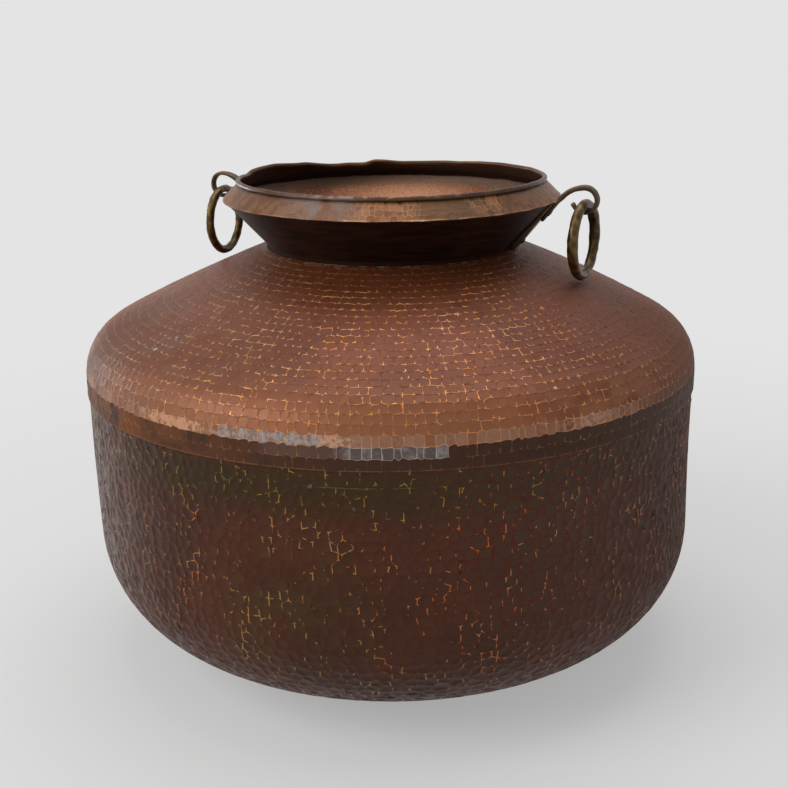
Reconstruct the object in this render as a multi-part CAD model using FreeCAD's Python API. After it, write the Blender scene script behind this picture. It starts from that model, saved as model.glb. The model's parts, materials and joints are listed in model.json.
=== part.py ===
import FreeCAD, Part
import math
import os

# A large raised-copper water pot: a round-bottomed bowl, a sloping shoulder lapped over it,
# a flared neck collar, an inward rim band with a wired lip, and two riveted hooks that
# each carry a loose ring.  Millimetres, +Z up, origin on the floor under the pot's axis,
# right hook on +X.

# body; all radii are to the outside of the sheet
body_radius = 300.0         # widest, at the shoulder's rounded edge
widest_height = 293.0       # floor to the widest circle
body_sheet = 1.5
foot_radius = 80.0          # flattened disc that the pot stands on
crown_radius = 395.0        # gentle curve from the foot to the knuckle
knuckle_radius = 112.0      # bottom corner of the bowl
edge_radius = 46.0          # rounded outer edge of the shoulder
skirt_height = 18.5         # shoulder's straight skirt below the widest circle
bowl_drop = 3.5             # bowl's top edge below the widest circle, inside the skirt
shoulder_crown = 1450.0     # long curve of the shoulder, from the neck to the rounded edge

# neck and rim
rim_sheet = 1.3
neck_radius = 120.0
neck_rise = 113.0           # widest circle to the foot of the neck
collar_tuck = 8.0           # collar's straight end inside the shoulder's hole
tuck_clearance = 0.1
ridge_radius = 164.0
ridge_rise = 45.5           # foot of the neck to the ridge
ridge_overhang = 1.2        # rim band's lower edge stands this far past the collar
lip_radius = 150.6          # outside of the rolled lip
lip_rise = 18.0             # ridge to the middle of the lip
lip_wire_radius = 1.0
hem_gap = 0.2               # rolled lip's edge to the band it comes back to

# brazing, as fillet rings
neck_fillet = 3.0
ridge_fillet = 2.5

# hooks: a wedge-shaped strap on the collar, and a flat-oval bar riveted on its outer face
strap_start = 3.5           # along the flare, from the foot of the neck
strap_short = 1.5           # strap's tip below the ridge
strap_foot_width = 18.0
strap_tip_width = 9.0
strap_foot_thickness = 5.0
strap_tip_thickness = 1.8
strap_taper = 29.0          # along the flare, over which the strap narrows to its tip
shank_lap = 22.4            # along the strap, from the bar's square end to the ridge
shank_width = 9.5
shank_thickness = 3.0
shank_corner = 0.8
shank_past_ridge = 1.0
swell_length = 4.5          # flattened shank to the full bar
bar_width = 7.5
bar_thickness = 5.0
bar_corner = 2.2
arch_radius = 29.0
eye_radius = 11.5
eye_overrun = 55.0          # degrees the eye goes on past its lowest point
stub_length = 4.5
stub_width = 4.6
stub_thickness = 3.0
stub_corner = 1.4

# rivets through the collar, their tails peened over burr washers inside
rivet_radius = 2.0
rivet_clearance = 0.05
rivet_head_radius = 4.2
lower_rivet_place = 10.0    # along the strap
lower_head_height = 2.0
upper_rivet_inset = 10.0    # from the bar's square end
upper_head_height = 0.9
tail_radius = 3.2
tail_height = 1.2
washer_radius = 5.0
washer_thickness = 0.9
washer_clearance = 0.05

# rings hang in the eyes, just clear of the shoulder under them; hand-made, so each has
# its own place, rod, clearance and turn
hang_gap = 0.3
rings = {
    "right": {"azimuth": 0.0, "rod_radius": 5.0, "over_shoulder": 3.2, "turn": -5.8},
    "left": {"azimuth": 176.0, "rod_radius": 4.2, "over_shoulder": 6.2, "turn": 3.1},
}

ORIGIN = FreeCAD.Vector(0, 0, 0)
UP = FreeCAD.Vector(0, 0, 1)
ACROSS = FreeCAD.Vector(0, 1, 0)


# ---- drawing in the XZ plane -------------------------------------------------------
def point(radius, height):
    return FreeCAD.Vector(radius, 0, height)


def line(start, end):
    return Part.LineSegment(start, end).toShape()


def on_circle(centre, radius, degrees):
    angle = math.radians(degrees)
    return centre + point(radius * math.cos(angle), radius * math.sin(angle))


def arc(centre, radius, start, end):
    ends = [on_circle(centre, radius, degrees) for degrees in (start, (start + end) / 2, end)]
    return Part.Arc(*ends).toShape()


def heading(vector):
    return math.degrees(math.atan2(vector.z, vector.x))


def unit(start, end):
    return (end - start).normalize()


def crossing(start, direction, other_start, other_direction):
    """Where two straight lines in the XZ plane cross."""
    gap = other_start - start
    turn = direction.x * other_direction.z - direction.z * other_direction.x
    return start + direction * ((gap.x * other_direction.z - gap.z * other_direction.x) / turn)


def circles_meet(centre, radius, other_centre, other_radius):
    """The lower of the two points where two circles in the XZ plane meet."""
    gap = other_centre - centre
    along = (radius ** 2 - other_radius ** 2 + gap.Length ** 2) / (2 * gap.Length)
    aside = math.sqrt(radius ** 2 - along ** 2)
    way = unit(centre, other_centre)
    return centre + way * along + point(way.z, -way.x) * aside


def polygon(points):
    edges = [line(start, end) for start, end in zip(points, points[1:] + points[:1])]
    return Part.Face(Part.Wire(edges))


def disc(centre, radius):
    return Part.Face(Part.Wire(Part.Circle(centre, ACROSS, radius).toShape()))


def turned(section):
    """Solid of revolution about the pot's axis."""
    return section.revolve(ORIGIN, UP, 360)


# ---- layout of the pot's section ---------------------------------------------------
wall_radius = body_radius - body_sheet
bowl_top = widest_height - bowl_drop
skirt_bottom = widest_height - skirt_height

crown_centre = point(foot_radius, crown_radius)
crown_reach = wall_radius - knuckle_radius - foot_radius
crown_lift = math.sqrt((crown_radius - knuckle_radius) ** 2 - crown_reach ** 2)
knuckle_centre = crown_centre + point(crown_reach, -crown_lift)
knuckle_start = heading(knuckle_centre - crown_centre)

neck = point(neck_radius, widest_height + neck_rise)
edge_centre = point(body_radius - edge_radius, widest_height)
shoulder_centre = circles_meet(neck, shoulder_crown, edge_centre, shoulder_crown - edge_radius)
edge_start = heading(edge_centre - shoulder_centre)

ridge = neck + point(ridge_radius - neck_radius, ridge_rise)
hem_radius = lip_wire_radius + rim_sheet
lip = point(lip_radius - hem_radius, ridge.z + lip_rise)
band_run = math.sqrt((lip - ridge).Length ** 2 - lip_wire_radius ** 2)
band_heading = heading(lip - ridge) + math.degrees(math.atan2(lip_wire_radius, band_run))
band = on_circle(ORIGIN, 1, band_heading)
band_inward = point(-band.z, band.x)
band_inside = ridge + band_inward * rim_sheet
collar_top = band_inside + band * ridge_overhang

flare = unit(neck, collar_top)
flare_outward = point(flare.z, -flare.x)
flare_inside = neck - flare_outward * rim_sheet


def shoulder_skin(radius, crown):
    """Direction from the shoulder's centre to where its skin has the radius given."""
    return math.degrees(math.acos((radius - shoulder_centre.x) / crown))


# ---- the pot -----------------------------------------------------------------------
def bowl():
    def skin(inset):
        wall = wall_radius - inset
        return [
            line(point(0, inset), point(foot_radius, inset)),
            arc(crown_centre, crown_radius - inset, -90, knuckle_start),
            arc(knuckle_centre, knuckle_radius - inset, knuckle_start, 0),
            line(point(wall, knuckle_centre.z), point(wall, bowl_top)),
        ]

    top = line(point(wall_radius, bowl_top), point(wall_radius - body_sheet, bowl_top))
    middle = line(point(0, body_sheet), ORIGIN)
    return turned(Part.Face(Part.Wire(skin(0) + [top] + skin(body_sheet)[::-1] + [middle])))


def shoulder():
    hole = neck_radius + tuck_clearance
    inner_crown = shoulder_crown - body_sheet
    outer_start = shoulder_skin(hole, shoulder_crown)
    inner_start = shoulder_skin(hole, inner_crown)
    outer_hem = point(body_radius, skirt_bottom)
    inner_hem = point(wall_radius, skirt_bottom)
    return turned(Part.Face(Part.Wire([
        arc(shoulder_centre, shoulder_crown, outer_start, edge_start),
        arc(edge_centre, edge_radius, edge_start, 0),
        line(point(body_radius, widest_height), outer_hem),
        line(outer_hem, inner_hem),
        line(inner_hem, point(wall_radius, widest_height)),
        arc(edge_centre, edge_radius - body_sheet, 0, edge_start),
        arc(shoulder_centre, inner_crown, edge_start, inner_start),
        line(on_circle(shoulder_centre, inner_crown, inner_start),
             on_circle(shoulder_centre, shoulder_crown, outer_start)),
    ])))


def shoulder_seam_braze():
    corner = point(wall_radius, bowl_top)
    return turned(polygon([corner, corner + point(0, body_sheet), corner - point(body_sheet, 0)]))


def neck_collar():
    inside = point(neck_radius - rim_sheet, neck.z)
    return turned(polygon([
        neck - point(0, collar_tuck),
        neck,
        collar_top,
        crossing(flare_inside, flare, band_inside, band),
        crossing(flare_inside, flare, inside, UP),
        inside - point(0, collar_tuck),
    ]))


def neck_seam_braze():
    reach = neck_radius + neck_fillet
    skin_start = shoulder_skin(neck_radius, shoulder_crown)
    skin_end = shoulder_skin(reach, shoulder_crown)
    top = neck + flare * neck_fillet
    return turned(Part.Face(Part.Wire([
        line(neck, top),
        line(top, on_circle(shoulder_centre, shoulder_crown, skin_end)),
        arc(shoulder_centre, shoulder_crown, skin_end, skin_start),
    ])))


def rim_band():
    hem_start = heading(band_inward)
    closed = math.degrees(math.acos((lip_wire_radius - hem_gap) / hem_radius))
    hem_end = hem_start - 360 + closed
    return turned(Part.Face(Part.Wire([
        line(ridge, on_circle(lip, lip_wire_radius, hem_start)),
        arc(lip, lip_wire_radius, hem_start, hem_end),
        line(on_circle(lip, lip_wire_radius, hem_end), on_circle(lip, hem_radius, hem_end)),
        arc(lip, hem_radius, hem_end, hem_start),
        line(on_circle(lip, hem_radius, hem_start), band_inside),
        line(band_inside, ridge),
    ])))


def lip_wire():
    return turned(disc(lip, lip_wire_radius))


def ridge_seam_braze():
    corner = crossing(flare_inside, flare, band_inside, band)
    return turned(polygon([corner, corner + band * ridge_fillet, corner - flare * ridge_fillet]))


# ---- hooks, drawn on +X and then turned to their own side --------------------------
def on_flare(along, out=0.0, across=0.0):
    return neck + flare * along + flare_outward * out + ACROSS * across


strap_end = (collar_top - neck).Length - strap_short
strap_foot = on_flare(strap_start, strap_foot_thickness)
strap_way = unit(strap_foot, on_flare(strap_end, strap_tip_thickness))
strap_outward = point(strap_way.z, -strap_way.x)
ridge_along = (ridge - strap_foot).dot(strap_way)


def on_strap(along, out=0.0):
    """Point on the strap's outer face line, or at a height over it."""
    return strap_foot + strap_way * along + strap_outward * out


def strap():
    wedge = polygon([
        on_flare(strap_start, 0, -strap_foot_width / 2),
        on_flare(strap_end, 0, -strap_foot_width / 2),
        on_flare(strap_end, strap_tip_thickness, -strap_foot_width / 2),
        on_flare(strap_start, strap_foot_thickness, -strap_foot_width / 2),
    ]).extrude(ACROSS * strap_foot_width)
    outline = [
        (strap_start, strap_foot_width),
        (strap_end - strap_taper, strap_foot_width),
        (strap_end, strap_tip_width),
    ]
    near_side = [on_flare(along, 0, -width / 2) for along, width in outline]
    far_side = [on_flare(along, 0, width / 2) for along, width in outline]
    leaf = polygon(far_side + near_side[::-1])
    return wedge.common(leaf.extrude(flare_outward * strap_foot_thickness))


def bar_section(centre, direction, width, thickness, corner):
    """Rounded rectangle square to the direction, with its thickness in the XZ plane."""
    out = point(direction.z, -direction.x) * (thickness / 2)
    side = ACROSS * (width / 2)
    block = polygon([centre - out - side, centre + out - side,
                     centre + out + side, centre - out + side]).extrude(direction)
    lengthwise = [edge for edge in block.Edges if abs(edge.tangentAt(0).dot(direction)) > 0.999]
    rounded = block.makeFillet(corner, lengthwise)
    return [face for face in rounded.Faces if face.normalAt(0, 0).dot(direction) < -0.999][0]


shank_out = shank_thickness / 2
shank_start = ridge_along - shank_lap
swell_start = ridge_along + shank_past_ridge
arch_start = on_strap(swell_start + swell_length, shank_out)
arch_centre = arch_start + strap_outward * arch_radius
arch_turn = heading(strap_way)
eye_centre = arch_centre + UP * (arch_radius - eye_radius)
eye_turn = 180 + eye_overrun
stub_way = on_circle(ORIGIN, 1, -eye_turn)
stub_start = on_circle(eye_centre, eye_radius, 90 - eye_turn)


def hook():
    shank_size = (shank_width, shank_thickness, shank_corner)
    bar_size = (bar_width, bar_thickness, bar_corner)
    shank = bar_section(on_strap(shank_start, shank_out), strap_way, *shank_size)
    swell_foot = bar_section(on_strap(swell_start, shank_out), strap_way, *shank_size)
    arch_foot = bar_section(arch_start, strap_way, *bar_size)
    eye_top = bar_section(arch_centre + UP * arch_radius, point(1, 0), *bar_size)
    stub_foot = bar_section(stub_start, stub_way, *bar_size)
    stub_tip = bar_section(stub_start + stub_way * stub_length, stub_way,
                           stub_width, stub_thickness, stub_corner)
    pieces = [
        shank.extrude(strap_way * (swell_start - shank_start)),
        Part.makeLoft([swell_foot.OuterWire, arch_foot.OuterWire], True),
        arch_foot.revolve(arch_centre, ACROSS, arch_turn),
        eye_top.revolve(eye_centre, ACROSS, eye_turn),
        Part.makeLoft([stub_foot.OuterWire, stub_tip.OuterWire], True),
    ]
    return pieces[0].multiFuse(pieces[1:]).removeSplitter()


# ---- rivets, square to the strap's outer face, their tails inside the collar -------
# a flat washer that stands askew in a hollow cone touches it only at an edge
washer_lean = washer_radius * strap_way.cross(flare).Length
washer_hollow = washer_radius ** 2 * flare.z / (2 * neck_radius)
washer_seat = washer_lean + washer_hollow + washer_clearance


def rivet_place(name):
    return {"lower": lower_rivet_place, "upper": shank_start + upper_rivet_inset}[name]


def collar_depth(along):
    """From the strap's outer face in to the inner side of the collar."""
    inside = crossing(on_strap(along), strap_outward, flare_inside, flare)
    return (on_strap(along) - inside).Length


def pin(along, start, end, radius):
    """Round pin between two heights over the strap's outer face."""
    return Part.makeCylinder(radius, end - start, on_strap(along, start), strap_outward)


def dome(along, base, height, radius, way):
    """Edge of a round-headed end, from its tip to its rim, outward for way 1, inward for -1."""
    ball_radius = (radius ** 2 + height ** 2) / (2 * height)
    half_turn = math.asin(radius / ball_radius) / 2
    middle_height = height - ball_radius * (1 - math.cos(half_turn))
    tip = on_strap(along, base + way * height)
    middle = on_strap(along + ball_radius * math.sin(half_turn), base + way * middle_height)
    return Part.Arc(tip, middle, on_strap(along + radius, base)).toShape()


def rivet(name, seat, head_height):
    along = rivet_place(name)
    tail = -(collar_depth(along) + washer_seat + washer_thickness)
    tail_rim = on_strap(along + tail_radius, tail)
    pin_start = on_strap(along + rivet_radius, tail)
    pin_end = on_strap(along + rivet_radius, seat)
    head_rim = on_strap(along + rivet_head_radius, seat)
    outline = [
        dome(along, tail, tail_height, tail_radius, -1),
        line(tail_rim, pin_start),
        line(pin_start, pin_end),
        line(pin_end, head_rim),
        dome(along, seat, head_height, rivet_head_radius, 1),
        line(on_strap(along, seat + head_height), on_strap(along, tail - tail_height)),
    ]
    return Part.Face(Part.Wire(outline)).revolve(on_strap(along), strap_outward, 360)


def washer(name):
    along = rivet_place(name)
    outer = -(collar_depth(along) + washer_seat)
    return pin(along, outer - washer_thickness, outer, washer_radius).cut(rivet_hole(name))


def rivet_hole(name):
    """Cutter that reaches through the shank, the strap, the collar and the washer."""
    along = rivet_place(name)
    depth = collar_depth(along) + washer_seat + 2 * washer_thickness
    return pin(along, -depth, 2 * shank_thickness, rivet_radius + rivet_clearance)


# ---- rings -------------------------------------------------------------------------
def ring_top(side):
    """Middle of the ring's rod where it hangs in the hook's eye, on the +X side."""
    lift = bar_thickness / 2 + hang_gap + rings[side]["rod_radius"]
    return eye_centre + UP * (lift - eye_radius)


def shoulder_height(radius):
    """Height of the shoulder's outer skin at a radius inside its rounded edge."""
    return shoulder_centre.z + math.sqrt(shoulder_crown ** 2 - (radius - shoulder_centre.x) ** 2)


def ring(side):
    size = rings[side]
    top = ring_top(side)
    lowest = shoulder_height(top.x) + size["over_shoulder"]
    radius = (top.z - size["rod_radius"] - lowest) / 2
    whole = Part.makeTorus(radius, size["rod_radius"], top - UP * radius, point(1, 0))
    whole.rotate(top, UP, size["turn"])
    return whole


# ---- assembly ----------------------------------------------------------------------
def to_side(shape, side):
    placed = shape.copy()
    placed.rotate(ORIGIN, UP, rings[side]["azimuth"])
    return placed


def build():
    rivet_holes = Part.makeCompound([rivet_hole("lower"), rivet_hole("upper")])
    collar = neck_collar()
    for side in rings:
        collar = collar.cut(to_side(rivet_holes, side))
    nodes = {
        "bowl": bowl(),
        "shoulder": shoulder(),
        "shoulder_seam_braze": shoulder_seam_braze(),
        "neck_collar": collar,
        "neck_seam_braze": neck_seam_braze(),
        "rim_band": rim_band(),
        "lip_wire": lip_wire(),
        "ridge_seam_braze": ridge_seam_braze(),
    }
    handle = {
        "strap": strap().cut(rivet_holes),
        "hook": hook().cut(rivet_holes),
        "lower_rivet": rivet("lower", 0, lower_head_height),
        "upper_rivet": rivet("upper", shank_thickness, upper_head_height),
        "lower_washer": washer("lower"),
        "upper_washer": washer("upper"),
    }
    for side in rings:
        for name, shape in handle.items():
            nodes[side + "_" + name] = to_side(shape, side)
        nodes[side + "_ring"] = to_side(ring(side), side)
    return nodes


def report(nodes):
    for name, shape in nodes.items():
        box = shape.BoundBox
        print(f"{name:22s} solids {len(shape.Solids)} valid {shape.isValid()} volume {shape.Volume:11.1f}",
              f"x {box.XMin:7.1f} {box.XMax:7.1f}  y {box.YMin:7.1f} {box.YMax:7.1f}",
              f"z {box.ZMin:6.1f} {box.ZMax:6.1f}")
    for side in rings:
        pivot = Part.Vertex(ring_top(side))
        pivot.rotate(ORIGIN, UP, rings[side]["azimuth"])
        swing = rings[side]["azimuth"] + rings[side]["turn"] - 90
        print(f"{side} ring turns about ({pivot.X:.3f}, {pivot.Y:.3f}, {pivot.Z:.3f})",
              f"axis ({math.cos(math.radians(swing)):.5f}, {math.sin(math.radians(swing)):.5f}, 0)")


def main():
    os.makedirs("parts", exist_ok=True)
    nodes = build()
    for name, shape in nodes.items():
        shape.exportStep("parts/" + name + ".step")
    report(nodes)


main()
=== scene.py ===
import json
import math
import random

import bmesh
import bpy
from mathutils import Matrix, Vector, noise

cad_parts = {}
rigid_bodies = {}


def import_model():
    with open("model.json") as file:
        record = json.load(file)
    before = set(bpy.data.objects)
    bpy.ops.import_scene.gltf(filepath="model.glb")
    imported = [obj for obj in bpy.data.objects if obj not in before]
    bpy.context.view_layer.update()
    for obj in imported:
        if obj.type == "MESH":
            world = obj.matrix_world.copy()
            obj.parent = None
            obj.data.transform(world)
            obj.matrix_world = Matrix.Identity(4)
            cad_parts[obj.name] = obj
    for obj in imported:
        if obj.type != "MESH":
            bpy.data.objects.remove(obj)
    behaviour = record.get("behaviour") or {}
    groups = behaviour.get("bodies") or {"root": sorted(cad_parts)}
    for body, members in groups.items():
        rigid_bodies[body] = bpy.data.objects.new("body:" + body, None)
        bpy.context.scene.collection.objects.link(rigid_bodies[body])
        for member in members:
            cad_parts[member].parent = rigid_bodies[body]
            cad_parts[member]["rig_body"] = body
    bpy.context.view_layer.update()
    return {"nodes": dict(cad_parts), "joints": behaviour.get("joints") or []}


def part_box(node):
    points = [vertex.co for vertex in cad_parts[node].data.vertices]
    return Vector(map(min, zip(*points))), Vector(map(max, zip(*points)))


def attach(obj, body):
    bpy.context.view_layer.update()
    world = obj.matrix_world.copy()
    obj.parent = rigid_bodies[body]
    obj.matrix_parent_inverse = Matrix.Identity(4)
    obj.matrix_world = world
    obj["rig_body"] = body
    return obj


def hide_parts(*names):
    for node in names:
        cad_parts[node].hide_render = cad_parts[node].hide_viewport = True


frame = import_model()
up = Vector((0, 0, 1))
samePlace = 1e-6  # points closer than this are one point


class Wire:  # a node's socket, so that shader sums are written as plain expressions
    def __init__(self, finish, socket):
        self.finish = finish
        self.socket = socket

    def __add__(self, other):
        return self.finish.sum("ADD", self, other)

    def __sub__(self, other):
        return self.finish.sum("SUBTRACT", self, other)

    def __rsub__(self, other):
        return self.finish.sum("SUBTRACT", other, self)

    def __mul__(self, other):
        return self.finish.sum("MULTIPLY", self, other)

    __radd__ = __add__
    __rmul__ = __mul__


class Finish:  # one material, or the world, as nodes
    def __init__(self, name, owner=None):
        self.material = owner or bpy.data.materials.new(name)
        self.material.use_nodes = True
        self.tree = self.material.node_tree
        self.tree.nodes.clear()
        self.place = self.node("TexCoord", out="Object")

    def node(self, kind, inputs=None, out=0, **settings):
        made = self.tree.nodes.new("ShaderNode" + kind)
        for key, value in settings.items():
            setattr(made, key, value)
        for key, value in (inputs or {}).items():
            if isinstance(value, Wire):
                self.tree.links.new(value.socket, made.inputs[key])
            else:
                made.inputs[key].default_value = value
        return Wire(self, made.outputs[out]) if made.outputs else None

    def sum(self, operation, first, second):
        return self.node("Math", {0: first, 1: second}, operation=operation)

    def most(self, first, *others):
        for other in others:
            first = self.sum("MAXIMUM", first, other)
        return first

    def step(self, value, low, high):  # 0 at low and 1 at high, smooth between
        return self.node("MapRange", {0: value, 1: low, 2: high}, interpolation_type="SMOOTHSTEP")

    def belt(self, value, low, high, soft):  # 1 between low and high
        return self.step(value, low - soft, low + soft) * (1 - self.step(value, high - soft, high + soft))

    def near(self, spot, reach):  # 1 at a spot, fading out to 0 at its reach
        gap = self.node("VectorMath", {0: self.place, 1: spot}, out="Value", operation="DISTANCE")
        return 1 - self.step(gap, 0.0, reach)

    def cloud(self, size, detail, seed, stretch=(1, 1, 1)):
        corner = (seed, 0.7 * seed, -seed)  # each seed reads another part of the noise
        moved = self.node("Mapping", {"Vector": self.place, "Location": corner, "Scale": stretch})
        return self.node("TexNoise", {"Vector": moved, "Scale": 1 / size, "Detail": detail})

    def blend(self, amount, first, second):
        first = first if isinstance(first, Wire) else (*first, 1)
        second = second if isinstance(second, Wire) else (*second, 1)
        return self.node("Mix", {0: amount, 6: first, 7: second}, out=2, data_type="RGBA")

    def mark(self, name):
        return self.node("Attribute", out="Fac", attribute_name=name)

    def height(self):
        return self.node("SeparateXYZ", {0: self.place}, out="Z")

    def seen(self):  # 1 on the rays that show a background, straight on or mirrored in metal
        kinds = ("Camera", "Glossy", "Transmission")
        return self.most(*(self.node("LightPath", out="Is " + kind + " Ray") for kind in kinds))

    def zone(self, marks, plan):  # 1 where a zone of patina lies, whole or broken into patches
        if "spot" in plan:
            mask = self.near(plan["spot"], plan["reach"])
        elif "rise" in plan:
            mask = self.step(marks["z"], *plan["rise"])
        else:
            mask = 1 - self.step(marks["z"], *plan["fall"])
        if "broken" not in plan:
            return mask
        patches = self.cloud(*plan["cloud"]) if "cloud" in plan else marks["patches"]
        return mask * self.step(patches, *plan["broken"])

    def washed(self, colour, mask, plan):
        return self.blend(mask * plan["share"], colour, plan["colour"])

    def close(self, colour, roughness, metallic, relief=None, reliefHeight=0.0, **fixed):
        inputs = {"Base Color": colour, "Roughness": roughness, "Metallic": metallic}
        inputs.update({name.replace("_", " "): value for name, value in fixed.items()})
        if relief is not None:
            inputs["Normal"] = self.node("Bump", {"Height": relief, "Distance": reliefHeight})
        self.node("OutputMaterial", {"Surface": self.node("BsdfPrincipled", inputs)})
        return self.material


def tint(red, green, blue):  # a screen colour, 0 to 255, as light
    return tuple(((part / 255 + 0.055) / 1.055) ** 2.4 for part in (red, green, blue))


# outlines are drawn in the pot's section, as points (radius, height)
def heading(vector):
    return math.atan2(vector.y, vector.x)


def toward(angle):
    return Vector((math.cos(angle), math.sin(angle)))


def leftOf(vector):
    return Vector((-vector.y, vector.x))


def arcRun(centre, radius, start, end, count=60):
    return [centre + toward(start + (end - start) * i / count) * radius for i in range(count + 1)]


def circlesMeet(centre, radius, otherCentre, otherRadius):  # the lower of the two points
    gap = otherCentre - centre
    along = (radius ** 2 - otherRadius ** 2 + gap.length_squared) / (2 * gap.length)
    way = gap.normalized()
    return centre + way * along - leftOf(way) * math.sqrt(radius ** 2 - along ** 2)


def paced(points, pace, firstRows=()):  # the same line, walked row by row
    lengths = [0.0]
    for first, second in zip(points, points[1:]):
        lengths.append(lengths[-1] + (second - first).length)
    goals = [0.0]
    for height in firstRows:
        goals.append(goals[-1] + height)
    count = max(1, round((lengths[-1] - goals[-1]) / pace))
    spare = lengths[-1] - goals[-1]
    goals += [goals[-1] + spare * (i + 1) / count for i in range(count)]
    walked, at = [], 0
    for goal in goals:
        while at < len(points) - 2 and lengths[at + 1] < goal:
            at += 1
        share = (goal - lengths[at]) / (lengths[at + 1] - lengths[at])
        walked.append(points[at].lerp(points[at + 1], min(max(share, 0.0), 1.0)))
    return walked


pot = {
    "widest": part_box("shoulder")[1].x,
    "widestHeight": 0.293,
    "bowlTop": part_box("bowl")[1].z,
    "skirtBottom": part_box("shoulder")[0].z,
    "sheet": 0.0015,
    "foot": 0.080,
    "crown": 0.395,
    "knuckle": 0.112,
    "edge": 0.046,
    "shoulderCurve": 1.450,
    "neckGap": 0.0001,
    "seam": 0.0012,  # the two skins of a sheet are joined within this reach
}
rim = {
    "sheet": 0.0013,
    "neck": Vector((0.120, 0.406)),
    "tuck": 0.008,
    "ridge": Vector((0.164, 0.4515)),
    "overhang": 0.0012,
    "lip": Vector((0.1483, 0.4695)),
    "wire": 0.001,
    "hemGap": 0.0002,
}
hemRadius = rim["wire"] + rim["sheet"]
bandRun = math.sqrt((rim["lip"] - rim["ridge"]).length_squared - rim["wire"] ** 2)
bandWay = toward(heading(rim["lip"] - rim["ridge"]) + math.atan2(rim["wire"], bandRun))
bandInside = rim["ridge"] + leftOf(bandWay) * rim["sheet"]
collarTop = bandInside + bandWay * rim["overhang"]
flare = (collarTop - rim["neck"]).normalized()
flareOut = -leftOf(flare)


def bowlOutline(inset):  # from the middle of the foot up
    wall = pot["widest"] - pot["sheet"]
    crownCentre = Vector((pot["foot"], pot["crown"]))
    reach = wall - pot["knuckle"] - pot["foot"]
    lift = math.sqrt((pot["crown"] - pot["knuckle"]) ** 2 - reach ** 2)
    knuckleCentre = crownCentre + Vector((reach, -lift))
    turn = math.atan2(-lift, reach)
    crown = arcRun(crownCentre, pot["crown"] - inset, -math.pi / 2, turn)
    knuckle = arcRun(knuckleCentre, pot["knuckle"] - inset, turn, 0)
    return [Vector((0, inset))] + crown + knuckle[1:] + [Vector((wall - inset, pot["bowlTop"]))]


def shoulderOutline(inset):  # from the skirt's hem up
    edgeCentre = Vector((pot["widest"] - pot["edge"], pot["widestHeight"]))
    innerCurve = pot["shoulderCurve"] - pot["edge"]
    curveCentre = circlesMeet(rim["neck"], pot["shoulderCurve"], edgeCentre, innerCurve)
    turn = heading(edgeCentre - curveCentre)
    curve = pot["shoulderCurve"] - inset
    neckTurn = math.acos((rim["neck"].x + pot["neckGap"] - curveCentre.x) / curve)
    hem = [Vector((pot["widest"] - inset, pot["skirtBottom"]))]
    edge = arcRun(edgeCentre, pot["edge"] - inset, 0, turn)
    return hem + edge + arcRun(curveCentre, curve, turn, neckTurn)[1:]


# how hand work strays from the drawing
bodyStray = {
    "shift": Vector((-0.0028, -0.0010, 0)),  # the wide part stands a little off the neck's axis
    "from": 0.045,
    "full": 0.230,
    "until": 0.330,
    "end": 0.392,
    "wave": 0.0007,
    "waveSize": 0.11,
}
collarStray = {"from": 0.410, "full": 0.425, "wave": 0.0005, "across": 40, "along": 12}
rimStray = {
    "swell": 0.0006, "swellScale": 26,
    "fine": 0.0007, "fineScale": 110, "fineFrom": 0.001, "fineTo": 0.006,
    "rise": 0.0005, "riseScale": 60, "sagFrom": 0.002,
}
# how far the lip sags below its drawn height, by direction in degrees
lipSags = ((-180, -0.0002), (-172, 0.0022), (-163, 0.0014), (-150, 0.0008), (-70, 0.0013), (-10, 0.0004),
           (60, 0.0015), (90, 0.0038), (105, 0.0046), (117, 0.0024), (122, 0.0052), (135, 0.0048),
           (150, 0.0012), (165, -0.0012), (176, -0.0008), (180, -0.0002))


def smooth(value, low, high):
    share = min(max((value - low) / (high - low), 0.0), 1.0)
    return share * share * (3 - 2 * share)


def outwards(place):
    return Vector((place.x, place.y, 0)).normalized()


def bodyPlace(place):
    rise = smooth(place.z, bodyStray["from"], bodyStray["full"])
    amount = rise * (1 - smooth(place.z, bodyStray["until"], bodyStray["end"]))
    wave = noise.noise(place / bodyStray["waveSize"]) * bodyStray["wave"]
    moved = place + (bodyStray["shift"] + outwards(place) * wave) * amount
    moved.z = max(moved.z, 0.0)  # the foot is worn flat on the floor
    return moved


def collarPlace(place):
    across, along = collarStray["across"], collarStray["along"]
    amount = smooth(place.z, collarStray["from"], collarStray["full"])
    wave = noise.noise(Vector((place.x * across, place.y * across, place.z * along))) * collarStray["wave"]
    return place + outwards(place) * wave * amount


def lipSag(place):
    around = math.degrees(math.atan2(place.y, place.x))
    for (start, low), (end, high) in zip(lipSags, lipSags[1:]):
        if start <= around <= end:
            return low + (high - low) * smooth(around, start, end)


def rimPlace(place):
    ridge = rim["ridge"].y
    amount = smooth(place.z, ridge + rimStray["sagFrom"], rim["lip"].y)
    low = 1 - smooth(place.z, ridge + rimStray["fineFrom"], ridge + rimStray["fineTo"])
    fine = noise.noise(place * rimStray["fineScale"]) * rimStray["fine"]
    swell = noise.noise(place * rimStray["swellScale"]) * rimStray["swell"]
    rise = noise.noise(place * rimStray["riseScale"]) * rimStray["rise"]
    shift = outwards(place) * (swell + fine * low) + up * (rise * (low + amount))
    return place + shift - up * lipSag(place) * amount


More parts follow.
